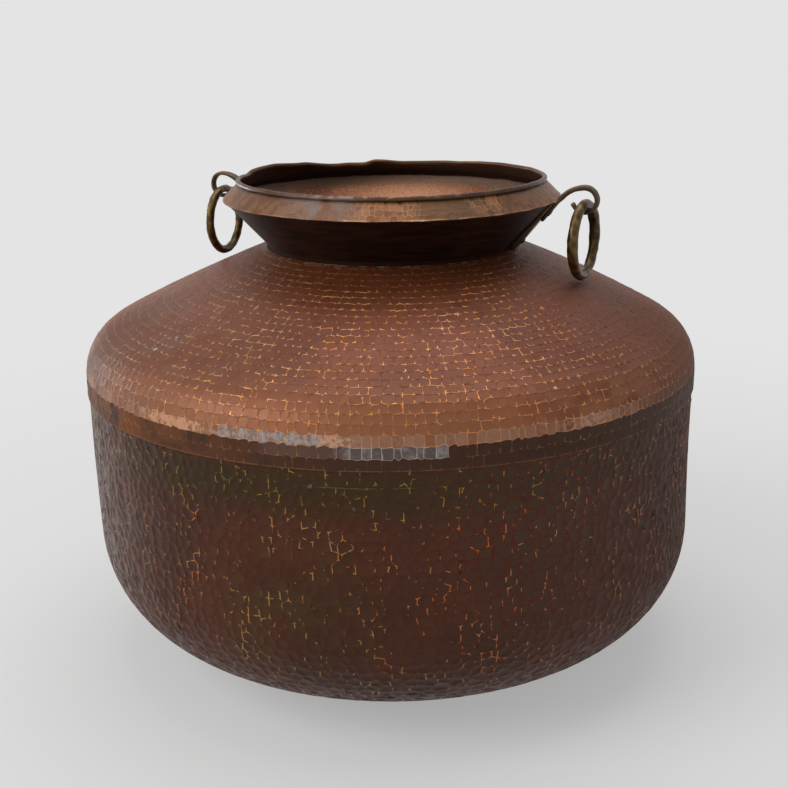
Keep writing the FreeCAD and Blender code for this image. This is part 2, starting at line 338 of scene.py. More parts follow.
# how every hammered sheet strays, mostly as shares of the row, the mark or the side that is moved
blows = {
    "rowSlack": 0.2,  # a row that is taller by more than this gets wider marks
    "fewest": 6,
    "lean": (0.3, 1.6),
    "driftSize": 0.7,
    "levelShare": 0.75,
    "bowDepth": 2,
    "bowScale": 9,
    "bowSpread": 0.3,
    "uprightSpread": 0.6,
    "crowded": 0.85,  # in a narrow cell a corner would run past its far side
    "crowdedReach": 0.6,
}
plugReach = 0.002
clearLift = 0.1  # far enough that two loops of edges don't meet


def rolled(bm, outline, steps, inside=0.0):  # a grid rolled up round the pot's axis, low row first
    rows = len(outline) - 1
    row = bm.verts.layers.int.get("row") or bm.verts.layers.int.new("row")
    inner = bm.verts.layers.float.get("inside") or bm.verts.layers.float.new("inside")
    skin = bmesh.ops.create_grid(bm, x_segments=steps, y_segments=rows, size=1)["verts"]
    for vert in skin:
        turn = math.pi * (vert.co.x + 1)
        vert[row] = round((vert.co.y + 1) / 2 * rows)
        vert[inner] = inside
        radius, height = outline[vert[row]]
        vert.co = Vector((radius * math.cos(turn), radius * math.sin(turn), height))
    seam = [vert for vert in skin if vert.is_boundary]
    bmesh.ops.remove_doubles(bm, verts=seam, dist=samePlace)


def beaten(outline, hammer):  # a skin of hammer marks: its ridges are marked 1, their meetings corner 1
    dice = random.Random(hammer["seed"])
    bm = bmesh.new()
    steps = hammer["steps"]
    rolled(bm, outline, steps)
    row = bm.verts.layers.int["row"]
    ridge = bm.verts.layers.float.new("ridge")
    corner = bm.verts.layers.float.new("corner")
    tone = bm.faces.layers.float.new("facet")
    rank = bm.faces.layers.float.new("rank")
    borders = []
    for low, high in zip(outline, outline[1:]):
        stretch = max(1.0, (high - low).length / hammer["rowHeight"] - blows["rowSlack"])
        count = max(blows["fewest"], round(math.pi * (low.x + high.x) / (hammer["width"] * stretch)))
        spacing, phase = steps / count, dice.random() * steps
        places = [i + hammer["sway"] * (dice.random() - 0.5) for i in range(count)]
        borders.append({int(place * spacing + phase) % steps for place in places})

    def isSpare(edge):
        first, second = edge.verts
        if first[row] == second[row]:
            return False
        column = round(math.atan2(first.co.y, first.co.x) / (2 * math.pi) * steps) % steps
        return column not in borders[min(first[row], second[row])]

    bmesh.ops.dissolve_edges(bm, edges=[edge for edge in bm.edges if isSpare(edge)], use_verts=False)
    bmesh.ops.dissolve_verts(bm, verts=[vert for vert in bm.verts if len(vert.link_edges) == 2])
    moves = []
    for vert in bm.verts:
        others = [edge.other_vert(vert) for edge in vert.link_edges]
        uprights = [other for other in others if other[row] != vert[row]]
        vert[corner] = 1.0
        if len(uprights) == 1 and not vert.is_boundary:
            rising = uprights[0][row] > vert[row]
            vert[corner] = 1.0 if rising else hammer["downCorner"]
            reach = (uprights[0].co - vert.co) * hammer["leanUp" if rising else "leanDown"]
            side = up.cross(outwards(vert.co)) * dice.gauss(0, hammer["jitter"])
            swing = noise.noise(vert.co / hammer["width"] * blows["driftSize"])
            drift = reach.normalized() * swing * hammer["jitter"]
            moves.append((vert, reach * dice.uniform(*blows["lean"]) + side + drift))
    for vert, move in moves:
        vert.co += move
    facets = bm.faces[:]
    rowTones = [dice.random() for _ in outline]
    for facet in facets:
        low = min(vert[row] for vert in facet.verts)
        facet[rank] = float(low)
        facet[tone] = dice.random() * (1 - hammer["rowTone"]) + rowTones[low] * hammer["rowTone"]
    meetings = {vert for vert in bm.verts if len(vert.link_edges) > 2}
    inner = [edge for edge in bm.edges if not edge.is_boundary and meetings.issuperset(edge.verts)
             and (hammer["bowedUprights"] or edge.verts[0][row] == edge.verts[1][row])]
    bmesh.ops.bisect_edges(bm, edges=inner, cuts=1)
    middles = [vert for vert in bm.verts if len(vert.link_edges) == 2 and not vert.is_boundary]
    for vert in middles:  # the middle of each side, bowed up, down or sideways
        first, second = (edge.other_vert(vert) for edge in vert.link_edges)
        along = second.co - first.co
        level = abs(along.z) + abs(along.dot(outwards(vert.co))) < along.length * blows["levelShare"]
        vert[corner] = hammer["levelCorner"] if level else hammer["uprightCorner"]
        if level:
            at = min(first[row], len(outline) - 2)
            slope = (outline[at + 1] - outline[at]).normalized()
            rise = outwards(vert.co) * slope.x + up * slope.y
            wave = noise.noise(vert.co * blows["bowScale"] + Vector((hammer["seed"], 0, 0)))
            bow = wave * blows["bowDepth"] + dice.gauss(0, blows["bowSpread"])
            vert.co += rise * bow * hammer["curl"] * along.length
        else:
            vert.co += up.cross(outwards(vert.co)) * dice.gauss(0, hammer["jitter"] * blows["uprightSpread"])
    bm.normal_update()
    centres = [facet.calc_center_median() for facet in facets]
    spans = [max((vert.co - centre).length for vert in facet.verts) for facet, centre in zip(facets, centres)]
    bmesh.ops.inset_individual(bm, faces=facets, thickness=hammer["border"], depth=-hammer["dish"],
                               use_even_offset=True, use_interpolate=True)
    for facet, centre, span in zip(facets, centres, spans):
        for vert in facet.verts:
            gap = vert.co - centre
            if gap.length > span * blows["crowded"]:
                vert.co = centre + gap * (span * blows["crowdedReach"] / gap.length)
    for vert in bm.verts:
        vert[ridge] = 1.0
    for edge in bm.edges:
        edge.smooth = not hammer["crisp"]
    for facet in facets:  # each mark is tipped a little and overlaps the row below
        centre, normal = facet.calc_center_median(), facet.normal.copy()
        rise = normal.cross(up.cross(outwards(centre)))
        slope = Vector([dice.gauss(0, hammer["tilt"]) for _ in range(3)]) - rise * hammer["lap"]
        for vert in facet.verts:
            vert[ridge] = 0.0
            vert.co += normal * (vert.co - centre).dot(slope)
    middles = bmesh.ops.poke(bm, faces=facets, offset=-hammer["hollow"], center_mode="MEAN_WEIGHTED",
                             use_relative_offset=False)["verts"]
    for vert in middles:
        vert[ridge] = 0.0
    return bm


def openEdges(bm, place, reach):  # open edges that lie by a point of the section
    def gap(edge):
        middle = (edge.verts[0].co + edge.verts[1].co) / 2
        return (Vector((math.hypot(middle.x, middle.y), middle.z)) - place).length
    return [edge for edge in bm.edges if edge.is_boundary and gap(edge) < reach]


def bridge(bm, first, second, reach):  # the second loop is lifted clear while the two are joined
    firstLoop, secondLoop = (set(openEdges(bm, place, reach)) for place in (first, second))
    secondLoop -= firstLoop
    lifted = list({vert for edge in secondLoop for vert in edge.verts})
    bmesh.ops.translate(bm, verts=lifted, vec=up * clearLift)
    bmesh.ops.bridge_loops(bm, edges=list(firstLoop | secondLoop))
    bmesh.ops.translate(bm, verts=lifted, vec=-up * clearLift)


def plug(bm, place):
    loop = openEdges(bm, place, plugReach)
    face = bmesh.ops.edgeloop_fill(bm, edges=loop)["faces"]
    bmesh.ops.poke(bm, faces=face)


def settle(bm, name, finish, body, replaced, place=None, sharp=None):
    if place:
        for vert in bm.verts:
            vert.co = place(vert.co.copy())
    bmesh.ops.recalc_face_normals(bm, faces=bm.faces[:])
    for face in bm.faces:
        face.smooth = True
    for edge in bm.edges:
        if sharp and edge.is_manifold and edge.calc_face_angle() > math.radians(sharp):
            edge.smooth = False
    mesh = bpy.data.meshes.new(name)
    bm.to_mesh(mesh)
    bm.free()
    mesh.materials.append(finish)
    piece = bpy.data.objects.new(name, mesh)
    bpy.context.collection.objects.link(piece)
    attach(piece, body)
    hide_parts(*replaced)
    print(name, "has", sum(len(polygon.vertices) - 2 for polygon in mesh.polygons), "triangles")


# old beaten copper: dark patina, worn bright along the ridges between marks
# a cloud is given as size, detail and seed, and a fade as the values where it starts and ends
oldCopper = {
    "broad": (0.11, 3, 11),
    "patches": (0.026, 4, 3),
    "grain": (0.0020, 4, 7),
    "breaks": (0.006, 2, 5),
    "hues": (0.03, 2, 17),
    "raggedness": 0.3,
    "patchWear": 0.9,
    "breakWear": 1.1,
    "warmth": (0.38, 0.62),
    "facets": (0.1, 0.95),
    "soot": (0.52, 0.72),
    "creases": (0.1, 0.7),
    "hueChange": (0.4, 0.62),
    "liningShare": 0.9,
    "grainRoughness": 0.22,
    "facetRoughness": 0.12,
    "wornPolish": 0.08,
    "dullRoughness": 0.26,
    "wornMetal": 0.3,
    "dullMetal": 0.3,
    "relief": 0.0002,
    "coatRoughness": 0.35,
}


def beatenCopper(name, look, zones):
    finish = Finish(name)
    marks = {mark: finish.mark(mark) for mark in ("ridge", "corner", "facet", "inside")}
    marks.update({cloud: finish.cloud(*oldCopper[cloud]) for cloud in ("patches", "grain")})
    marks["z"] = finish.height()
    patches, grain, facet = (marks[mark] for mark in ("patches", "grain", "facet"))
    breaks = finish.cloud(*oldCopper["breaks"])
    lines = marks["ridge"] + (grain - 0.5) * oldCopper["raggedness"]
    chance = marks["corner"] * look["cornerWear"] + patches * oldCopper["patchWear"]
    shown = finish.step(chance + breaks * oldCopper["breakWear"], *look["wornShare"])
    outside = 1 - marks["inside"]
    worn = finish.step(lines, *look["wornEdge"]) * shown * outside
    warmth = finish.step(finish.cloud(*oldCopper["broad"]), *oldCopper["warmth"])
    colour = finish.blend(warmth, look["deep"], look["warm"])
    pale = finish.step(facet, *oldCopper["facets"]) * look["facetShare"]
    colour = finish.blend(pale, colour, look["pale"])
    soot = finish.step(patches, *oldCopper["soot"]) * look["sootShare"]
    colour = finish.blend(soot, colour, look["soot"])
    creases = finish.step(lines, *oldCopper["creases"]) * look["creaseShare"] * outside
    colour = finish.blend(creases, colour, look["crease"])
    hues = finish.step(finish.cloud(*oldCopper["hues"]), *oldCopper["hueChange"])
    bright = finish.blend(hues, look["bright"], look["brightToo"])
    colour, worn, bright, dull = zones(finish, marks, colour, worn, bright)
    colour = finish.blend(worn, colour, bright)
    colour = finish.blend(marks["inside"] * oldCopper["liningShare"], colour, look["lining"])
    roughness = look["roughness"] + (grain - 0.5) * oldCopper["grainRoughness"]
    roughness = roughness + (facet - 0.5) * oldCopper["facetRoughness"]
    roughness = roughness - worn * oldCopper["wornPolish"] + dull * oldCopper["dullRoughness"]
    metallic = look["metallic"] + worn * oldCopper["wornMetal"] - dull * oldCopper["dullMetal"]
    return finish.close(colour, roughness, metallic, grain * 0.5 + patches * 0.5, oldCopper["relief"],
                        Coat_Weight=look["coat"], Coat_Roughness=oldCopper["coatRoughness"],
                        Specular_IOR_Level=look["specular"])


# a beaten sheet's marks have a width, a row height and a border between them; dish and hollow sink a mark,
# tilt and lap tip it, and the corner values say how readily the ridges wear bright there
shoulder = {
    "seed": 4, "steps": 960, "width": 0.0086, "sway": 0.5, "leanUp": 0.12, "leanDown": 0.05,
    "jitter": 0.0003, "curl": 0.06, "bowedUprights": True, "rowHeight": 0.0088,
    "firstRows": (0.010, 0.010, 0.0095), "border": 0.0008, "dish": 0.00008, "hollow": 0.00004,
    "tilt": 0.024, "lap": 0.034, "crisp": True, "downCorner": 0.45, "levelCorner": 0.5, "uprightCorner": 0.25,
    "rowTone": 0.45,
    "innerSteps": 144, "innerPace": 0.012,
    "cornerWear": 0.55, "wornShare": (1.26, 1.48), "wornEdge": (0.5, 0.85), "facetShare": 0.32,
    "deep": tint(94, 46, 24), "warm": tint(112, 57, 32), "pale": tint(126, 74, 48), "sootShare": 0.3,
    "soot": tint(70, 33, 16), "crease": tint(78, 37, 18), "creaseShare": 0.3, "lining": tint(80, 46, 34),
    "bright": tint(212, 136, 62), "brightToo": tint(200, 142, 92), "roughness": 0.48, "metallic": 0.3,
    "coat": 0.03, "specular": 0.3,
    "washes": {  # laid in this order
        "neck": {"rise": (0.350, 0.402), "share": 0.85, "colour": tint(96, 49, 25)},
        "bloom": {"rise": (0.4025, 0.4050), "cloud": (0.008, 3, 71), "broken": (0.5, 0.62), "share": 0.7,
                  "colour": tint(138, 138, 118)},
        # painted light: the lower shoulder is washed a lighter brown, where more light falls on it
        "low": {"fall": (0.306, 0.346), "share": 0.75, "colour": tint(150, 96, 64)},
        "red": {"spot": (0.262, -0.140, 0.300), "reach": 0.18, "broken": (0.4, 0.6), "share": 0.6,
                "colour": tint(92, 32, 14)},
        # painted shade: the shoulder's right side is darkened, and made duller, where less light falls
        "rightShade": {"spot": (0.30, 0.02, 0.31), "reach": 0.24, "share": 0.7, "colour": tint(70, 30, 12)},
        # painted shade: the shoulder's far left is darkened where the light falls off
        "farLeftShade": {"spot": (-0.240, -0.195, 0.305), "reach": 0.14, "share": 0.8, "colour": tint(62, 30, 14)},
        # partly dust, partly a painted greyish sheen on the shoulder's front left
        "dustySheen": {"spot": (-0.13, -0.22, 0.325), "reach": 0.17, "broken": (0.35, 0.6), "share": 0.4,
                  "colour": tint(112, 82, 68)},
    },
    "unworn": {"rise": (0.385, 0.405), "share": 0.6},
    "smoothed": ({"spot": (-0.23, -0.07, 0.34), "reach": 0.24}, {"spot": (0.21, 0.03, 0.36), "reach": 0.20}),
    "smoothing": (0.1, 0.6), "smoothShare": 0.8,
    "scrape": {"spot": (-0.160, -0.229, 0.330), "reach": 0.05, "fade": (0.1, 0.5),
               "cloud": (0.010, 2, 41, (1, 1, 5)), "belt": (0.50, 0.53, 0.01), "share": 0.7,
               "colour": tint(56, 34, 26)},
    "dabEdge": (0.2, 0.8),
    "dabs": (
        {"spot": (-0.1399, -0.2233, 0.3401), "reach": 0.004, "share": 0.8, "colour": tint(186, 176, 168)},
        {"spot": (-0.1249, -0.2116, 0.3493), "reach": 0.003, "share": 0.8, "colour": tint(170, 160, 150)},
        {"spot": (-0.1767, -0.2423, 0.2960), "reach": 0.007, "share": 0.8, "colour": tint(84, 88, 60)},
        {"spot": (0.2117, -0.1884, 0.3284), "reach": 0.004, "share": 0.8, "colour": tint(190, 178, 168)},
    ),
}
# the shoulder's turned edge, where the rows of marks count up from the hem, which is row 0
turnedEdge = {
    "hemRow": (0.4, 0.6), "middleRow": (0.6, 1.4, 0.1), "topRow": (1.6, 2.4, 0.1),
    "uneven": 0.35, "streaks": (0.0035, 3, 51), "ridge": (0.5, 0.9),
    "rust": {"spot": (-0.17, -0.25, 0.28), "reach": 0.24, "broken": (0.32, 0.58)},
    "rustTones": (tint(54, 28, 12), tint(106, 56, 18)), "rustShare": 0.95,
    # painted reflection: the middle row's slate blue facets at the front stand in for a bright light mirrored
    # there, with painted highlights along their ridges
    "blue": {"spot": (0.105, -0.281, 0.293), "reach": 0.085}, "blueFade": (0.38, 0.56), "blueShare": 0.9,
    "slateMix": (0.7, 0.6), "slateFade": (0.4, 0.9), "reflectionTones": (tint(92, 80, 76), tint(158, 152, 152)),
    # painted sheen: greyish mauve on the middle row near the front, where light falls on it
    "mauveSheen": {"spot": (0.066, -0.292, 0.299), "reach": 0.13, "share": 0.6, "colour": tint(104, 76, 64)},
    "mauveFade": (0.2, 0.6),
    # painted shade: the top row darkens toward the right, where less light falls, and its painted highlight
    # fades there
    "turned": {"spot": (0.298, -0.020, 0.29), "reach": 0.18, "share": 0.6, "colour": tint(80, 42, 20)},
    "turnedFade": (0.15, 0.6),
    # painted highlights on the top row: lit facets, a mirrored sky, glows, glints and bright ridges toward
    # the front
    "lit": tint(158, 120, 98), "litFade": (0.5, 1.2), "litShare": 0.7, "litLoss": 0.65,
    "sky": {"spot": (0.008, -0.299, 0.299), "reach": 0.10}, "skyStrength": 2, "skyFade": (0.3, 0.6),
    "skyShare": 0.65,
    "silverFade": (0.4, 0.65), "skyReflectionTones": (tint(132, 118, 112), tint(168, 164, 166)),
    "glows": ({"spot": (0.066, -0.292, 0.299), "reach": 0.028},
              {"spot": (-0.085, -0.288, 0.299), "reach": 0.070}),
    "glowPatches": (0.75, 1.3), "glowStrength": 2.4, "glowFade": (0.2, 1.1),
    "glow": {"share": 0.75, "colour": tint(206, 152, 116)},
    "glint": {"spot": (0.241, -0.178, 0.299), "reach": 0.045, "share": 0.6, "colour": tint(196, 146, 124)},
    "glintStreaks": (0.42, 0.62),
    "seen": {"spot": (0.105, -0.281, 0.293), "reach": 0.5}, "seenFade": (0.2, 0.7),
    "topHighlight": {"share": 0.6, "colour": tint(206, 158, 122)},
    "middleHighlight": {"share": 0.65, "colour": tint(216, 200, 186)},
    "dullShare": 0.7, "hemSpared": 0.8, "middleSpared": 0.6,
}


def shoulderZones(finish, marks, colour, worn, bright):
    masks = {}
    for name, plan in shoulder["washes"].items():
        masks[name] = finish.zone(marks, plan)
        colour = finish.washed(colour, masks[name], plan)
    worn = worn * (1 - finish.zone(marks, shoulder["unworn"]) * shoulder["unworn"]["share"])
    smoothed = finish.most(*(finish.zone(marks, plan) for plan in shoulder["smoothed"]))
    worn = worn * (1 - finish.step(smoothed, *shoulder["smoothing"]) * shoulder["smoothShare"])
    plan = shoulder["scrape"]
    scrape = finish.belt(finish.cloud(*plan["cloud"]), *plan["belt"])
    scrape = scrape * finish.step(finish.zone(marks, plan), *plan["fade"])
    colour = finish.washed(colour, scrape, plan)
    for plan in shoulder["dabs"]:
        colour = finish.washed(colour, finish.step(finish.zone(marks, plan), *shoulder["dabEdge"]), plan)
    colour, worn, dull = edgeZones(finish, marks, colour, worn)
    return colour, worn, bright, finish.most(masks["rightShade"], masks["farLeftShade"], dull)


def edgeZones(finish, marks, colour, worn):
    edge, facet = turnedEdge, marks["facet"]
    rank = finish.mark("rank")
    ridge = finish.step(marks["ridge"], *edge["ridge"])
    hem = 1 - finish.step(rank, *edge["hemRow"])
    middle = finish.belt(rank, *edge["middleRow"])
    top = finish.belt(rank, *edge["topRow"])
    rust = finish.blend(finish.zone(marks, edge["rust"]), *edge["rustTones"])
    colour = finish.blend((hem + middle) * edge["rustShare"], colour, rust)
    uneven = (facet - 0.5) * edge["uneven"]  # each facet takes a zone or leaves it as a whole
    streaks = finish.cloud(*edge["streaks"])
    # painted reflection: slate blue middle row at the front, with painted highlights on its ridges
    blue = finish.step(finish.zone(marks, edge["blue"]) + uneven, *edge["blueFade"])
    mauveSheen = finish.step(finish.zone(marks, edge["mauveSheen"]) + uneven, *edge["mauveFade"])
    colour = finish.washed(colour, middle * mauveSheen, edge["mauveSheen"])
    byFacet, byStreak = edge["slateMix"]
    slate = finish.step(facet * byFacet + streaks * byStreak, *edge["slateFade"])
    colour = finish.blend(middle * blue * edge["blueShare"], colour, finish.blend(slate, *edge["reflectionTones"]))
    # painted shade on the top row toward the right
    turned = finish.step(finish.zone(marks, edge["turned"]), *edge["turnedFade"])
    colour = finish.washed(colour, top * turned, edge["turned"])
    # painted highlights: the top row's lit facets, sky reflection, glow, glint and bright ridge lines
    lit = top * finish.step(facet + streaks, *edge["litFade"]) * (edge["litShare"] - turned * edge["litLoss"])
    colour = finish.blend(lit, colour, edge["lit"])
    sky = (finish.zone(marks, edge["sky"]) + uneven) * streaks * edge["skyStrength"]
    skyReflection = finish.blend(finish.step(streaks, *edge["silverFade"]), *edge["skyReflectionTones"])
    colour = finish.blend(top * finish.step(sky, *edge["skyFade"]) * edge["skyShare"], colour, skyReflection)
    glow = finish.most(*(finish.zone(marks, plan) for plan in edge["glows"])) + uneven
    glow = glow * finish.step(streaks + marks["patches"], *edge["glowPatches"]) * edge["glowStrength"]
    colour = finish.washed(colour, top * finish.step(glow, *edge["glowFade"]), edge["glow"])
    glint = finish.step(streaks, *edge["glintStreaks"]) * finish.zone(marks, edge["glint"]) * top
    colour = finish.washed(colour, glint, edge["glint"])
    seen = finish.step(finish.zone(marks, edge["seen"]), *edge["seenFade"])
    colour = finish.washed(colour, top * ridge * seen, edge["topHighlight"])
    colour = finish.washed(colour, middle * ridge * blue, edge["middleHighlight"])
    worn = worn * (1 - hem * edge["hemSpared"]) * (1 - middle * edge["middleSpared"])
    return colour, worn, (hem + middle * (1 - blue)) * edge["dullShare"]


def makeShoulder():
    outline = paced(shoulderOutline(0), shoulder["rowHeight"], shoulder["firstRows"])
    bm = beaten(outline, shoulder)
    inner = paced(shoulderOutline(pot["sheet"]), shoulder["innerPace"])
    rolled(bm, inner, shoulder["innerSteps"], inside=1.0)
    bridge(bm, outline[0], inner[0], pot["seam"])
    bridge(bm, outline[-1], inner[-1], pot["seam"])
    finish = beatenCopper("beatenShoulder", shoulder, shoulderZones)
    settle(bm, "shoulder_beaten", finish, "pot", ["shoulder"], bodyPlace)


bowl = {
    "seed": 9, "steps": 1080, "width": 0.0098, "sway": 0.7, "leanUp": 0.24, "leanDown": 0.24,
    "jitter": 0.0006, "curl": 0.03, "bowedUprights": False, "rowHeight": 0.0096,
    "firstRows": (0.017,) * 10, "border": 0.0015, "dish": 0.0005, "hollow": 0.0003,
    "tilt": 0.05, "lap": 0.0, "crisp": False, "downCorner": 1.0, "levelCorner": 0.55, "uprightCorner": 0.5,
    "rowTone": 0.0,
    "innerSteps": 120, "innerPace": 0.014,
    "footStart": 0.99, "footHole": 0.028, "innerHole": 0.010,  # the flat foot is drawn from its hole out
    "cornerWear": 0.4, "wornShare": (1.41, 1.58), "wornEdge": (0.62, 0.88), "facetShare": 0.3,
    "deep": tint(66, 33, 16), "warm": tint(80, 38, 19), "pale": tint(84, 50, 30), "sootShare": 0.3,
    "soot": tint(46, 26, 12), "crease": tint(62, 29, 12), "creaseShare": 0.35, "lining": tint(66, 40, 30),
    "bright": tint(198, 106, 44), "brightToo": tint(178, 134, 82), "roughness": 0.42, "metallic": 0.4,
    "coat": 0.0, "specular": 0.32,
    "front": {"spot": (0.10, -0.28, 0.245), "reach": 0.36},
    "olive": {"belt": (0.236, 0.276, 0.018), "fade": (0.0, 0.5), "share": 0.75, "colour": tint(52, 38, 12),
              "spared": 0.35},
    "oliveBright": {"share": 0.7, "colour": tint(172, 150, 52)},
    "stain": {"spot": (0.012, -0.298, 0.14), "reach": 0.11, "broken": (0.42, 0.6), "share": 0.4,
              "colour": tint(70, 58, 26)},
    "stainBright": {"spot": (0.012, -0.298, 0.14), "reach": 0.11, "share": 0.5, "colour": tint(176, 150, 74)},
    # painted shade: the bowl's right side is darkened, and made duller, where less light falls
    "right": {"spot": (0.32, -0.05, 0.19), "reach": 0.28, "share": 0.5, "colour": tint(46, 18, 4)},
    "pebbles": {"spot": (0.225, -0.20, 0.215), "reach": 0.19, "share": 0.5, "colour": tint(66, 52, 38)},
    "pebbleLines": {"ridge": (0.1, 0.5), "share": 0.8, "colour": tint(84, 26, 8)},
    "left": {"spot": (-0.25, -0.18, 0.18), "reach": 0.23, "wornFade": (0.2, 0.8), "spared": 0.5,
             "sheen": 0.5},
    # partly dust, partly a painted greyish sheen on the bowl's left
    "dustAndSheen": {"fade": (0.0, 0.8), "plain": 0.15, "patches": (0.35, 0.65), "patchShare": 0.3,
             "colour": tint(112, 92, 80)},
    "scratch": {"spot": (0.07, -0.29, 0.26), "reach": 0.10, "broken": (0.42, 0.55), "cloud": (0.05, 2, 21),
                "wander": 0.004, "belt": (0.2596, 0.2600, 0.0003), "share": 0.8,
                "colour": tint(134, 118, 66)},
    "verdigris": {"cloud": (0.011, 2, 31), "broken": (0.70, 0.74), "belt": (0.24, 0.27, 0.01), "share": 0.7,
                  "colour": tint(92, 112, 84)},
}


def bowlZones(finish, marks, colour, worn, bright):
    z, patches = marks["z"], marks["patches"]
    front = finish.zone(marks, bowl["front"])
    olive = finish.belt(z, *bowl["olive"]["belt"]) * finish.step(front, *bowl["olive"]["fade"])
    colour = finish.washed(colour, olive, bowl["olive"])
    bright = finish.washed(bright, olive, bowl["oliveBright"])
    worn = worn * (1 - olive * bowl["olive"]["spared"])
    colour = finish.washed(colour, finish.zone(marks, bowl["stain"]), bowl["stain"])
    bright = finish.washed(bright, finish.zone(marks, bowl["stainBright"]), bowl["stainBright"])
    # painted shade over the bowl's right side
    right = finish.zone(marks, bowl["right"])
    colour = finish.washed(colour, right, bowl["right"])
    pebbles = finish.zone(marks, bowl["pebbles"])
    ridge = finish.step(marks["ridge"], *bowl["pebbleLines"]["ridge"])
    colour = finish.washed(colour, (1 - ridge) * pebbles, bowl["pebbles"])
    colour = finish.washed(colour, ridge * pebbles, bowl["pebbleLines"])
    # painted sheen: the bowl's left is washed greyish, partly in dusty patches
    left, plan = finish.zone(marks, bowl["left"]), bowl["dustAndSheen"]
    dustAndSheen = plan["plain"] + finish.step(patches, *plan["patches"]) * plan["patchShare"]
    colour = finish.blend(finish.step(left, *plan["fade"]) * dustAndSheen, colour, plan["colour"])
    worn = worn * (1 - finish.step(left, *bowl["left"]["wornFade"]) * bowl["left"]["spared"])
    plan = bowl["scratch"]
    wander = (finish.cloud(*plan["cloud"]) - 0.5) * plan["wander"]
    scratch = finish.belt(z + wander, *plan["belt"]) * finish.near(plan["spot"], plan["reach"])
    colour = finish.washed(colour, scratch * finish.step(patches, *plan["broken"]), plan)
    plan = bowl["verdigris"]
    verdigris = finish.step(finish.cloud(*plan["cloud"]), *plan["broken"]) * finish.belt(z, *plan["belt"])
    colour = finish.washed(colour, verdigris * front, plan)
    return colour, worn, bright, right - left * bowl["left"]["sheen"]


def makeBowl():
    footEdge = pot["foot"] * bowl["footStart"]
    outside = [place for place in bowlOutline(0) if place.x > footEdge]
    outline = paced([Vector((bowl["footHole"], 0))] + outside, bowl["rowHeight"], bowl["firstRows"])
    bm = beaten(outline, bowl)
    plug(bm, outline[0])
    lining = [Vector((bowl["innerHole"], pot["sheet"]))] + bowlOutline(pot["sheet"])[1:]
    inner = paced(lining, bowl["innerPace"])
    rolled(bm, inner, bowl["innerSteps"], inside=1.0)
    plug(bm, inner[0])
    bridge(bm, outline[-1], inner[-1], pot["seam"])
    finish = beatenCopper("beatenBowl", bowl, bowlZones)
    settle(bm, "bowl_beaten", finish, "pot", ["bowl"], bodyPlace)


collar = {
    "steps": 288, "pace": 0.004, "seam": 0.0008,
    # painted shade: the collar's outside is coloured near black, as it lies in the rim band's shadow
    "streaks": (0.03, 4, 2, (1, 1, 7)), "streakFade": (0.35, 0.7),
    "shadedStreakTones": (tint(26, 13, 7), tint(50, 26, 15)),
    "smears": (0.05, 4, 9), "smearFade": (0.55, 0.75), "smearShare": 0.4, "smear": tint(66, 38, 22),
    # painted light: the collar's inside is coloured lighter where its flare faces the light, with a painted
    # highlight on the far wall
    "liningFade": (0.35, 0.7), "litLiningTones": (tint(108, 60, 38), tint(146, 92, 64)),
    "insideHighlight": {"spot": (-0.030, 0.137, 0.425), "reach": 0.10, "share": 0.8, "colour": tint(196, 142, 108)},
    # painted glints: small golden specks on the collar's inside where hammer marks catch the light
    "grain": (0.0016, 4, 5), "specks": (0.52, 0.64), "speckClouds": (0.012, 3, 4), "speckFade": (0.3, 0.6),
    "glintSpeck": {"share": 0.6, "colour": tint(212, 154, 108)},
    "pit": {"share": 0.6, "colour": tint(84, 46, 32)}, "pits": (0.34, 0.44),
    "greyTop": {"rise": (0.438, 0.447), "share": 0.7, "colour": tint(112, 98, 88)},
    "roughness": 0.5, "grainRoughness": 0.3, "metallic": 0.3, "relief": 0.0003, "specular": 0.2,
}


def collarFinish():
    # painted light and shade: the outside is near black in shadow, the inside lighter where lit, with a
    # painted highlight and glinting specks
    finish = Finish("shadedCollar")
    streaks, smears, grain = (finish.cloud(*collar[name]) for name in ("streaks", "smears", "grain"))
    colour = finish.blend(finish.step(streaks, *collar["streakFade"]), *collar["shadedStreakTones"])
    smeared = finish.step(smears, *collar["smearFade"]) * collar["smearShare"]
    colour = finish.blend(smeared, colour, collar["smear"])
    lining = finish.blend(finish.step(smears, *collar["liningFade"]), *collar["litLiningTones"])
    marks = {"z": finish.height()}
    lining = finish.washed(lining, finish.zone(marks, collar["insideHighlight"]), collar["insideHighlight"])
    speckClouds = finish.step(finish.cloud(*collar["speckClouds"]), *collar["speckFade"])
    lining = finish.washed(lining, finish.step(grain, *collar["specks"]) * speckClouds, collar["glintSpeck"])
    lining = finish.washed(lining, 1 - finish.step(grain, *collar["pits"]), collar["pit"])
    lining = finish.washed(lining, finish.zone(marks, collar["greyTop"]), collar["greyTop"])
    colour = finish.blend(finish.mark("inside"), colour, lining)
    roughness = collar["roughness"] + (grain - 0.5) * collar["grainRoughness"]
    return finish.close(colour, roughness, collar["metallic"], grain * 0.6 + streaks, collar["relief"],
                        Specular_IOR_Level=collar["specular"])


def makeCollar():
    bm = bmesh.new()
    tuck = Vector((0, -rim["tuck"]))
    outer = [rim["neck"] + tuck, rim["neck"], collarTop]
    innerFoot = rim["neck"] - Vector((rim["sheet"], 0))
    inner = [innerFoot + tuck, innerFoot, collarTop - flareOut * rim["sheet"]]
    outline, lining = paced(outer, collar["pace"]), paced(inner, collar["pace"])
    rolled(bm, outline, collar["steps"])
    rolled(bm, lining, collar["steps"], inside=1.0)
    bridge(bm, outline[0], lining[0], collar["seam"])
    bridge(bm, outline[-1], lining[-1], collar["seam"])
    settle(bm, "collar_flared", collarFinish(), "pot", ["neck_collar"], collarPlace)


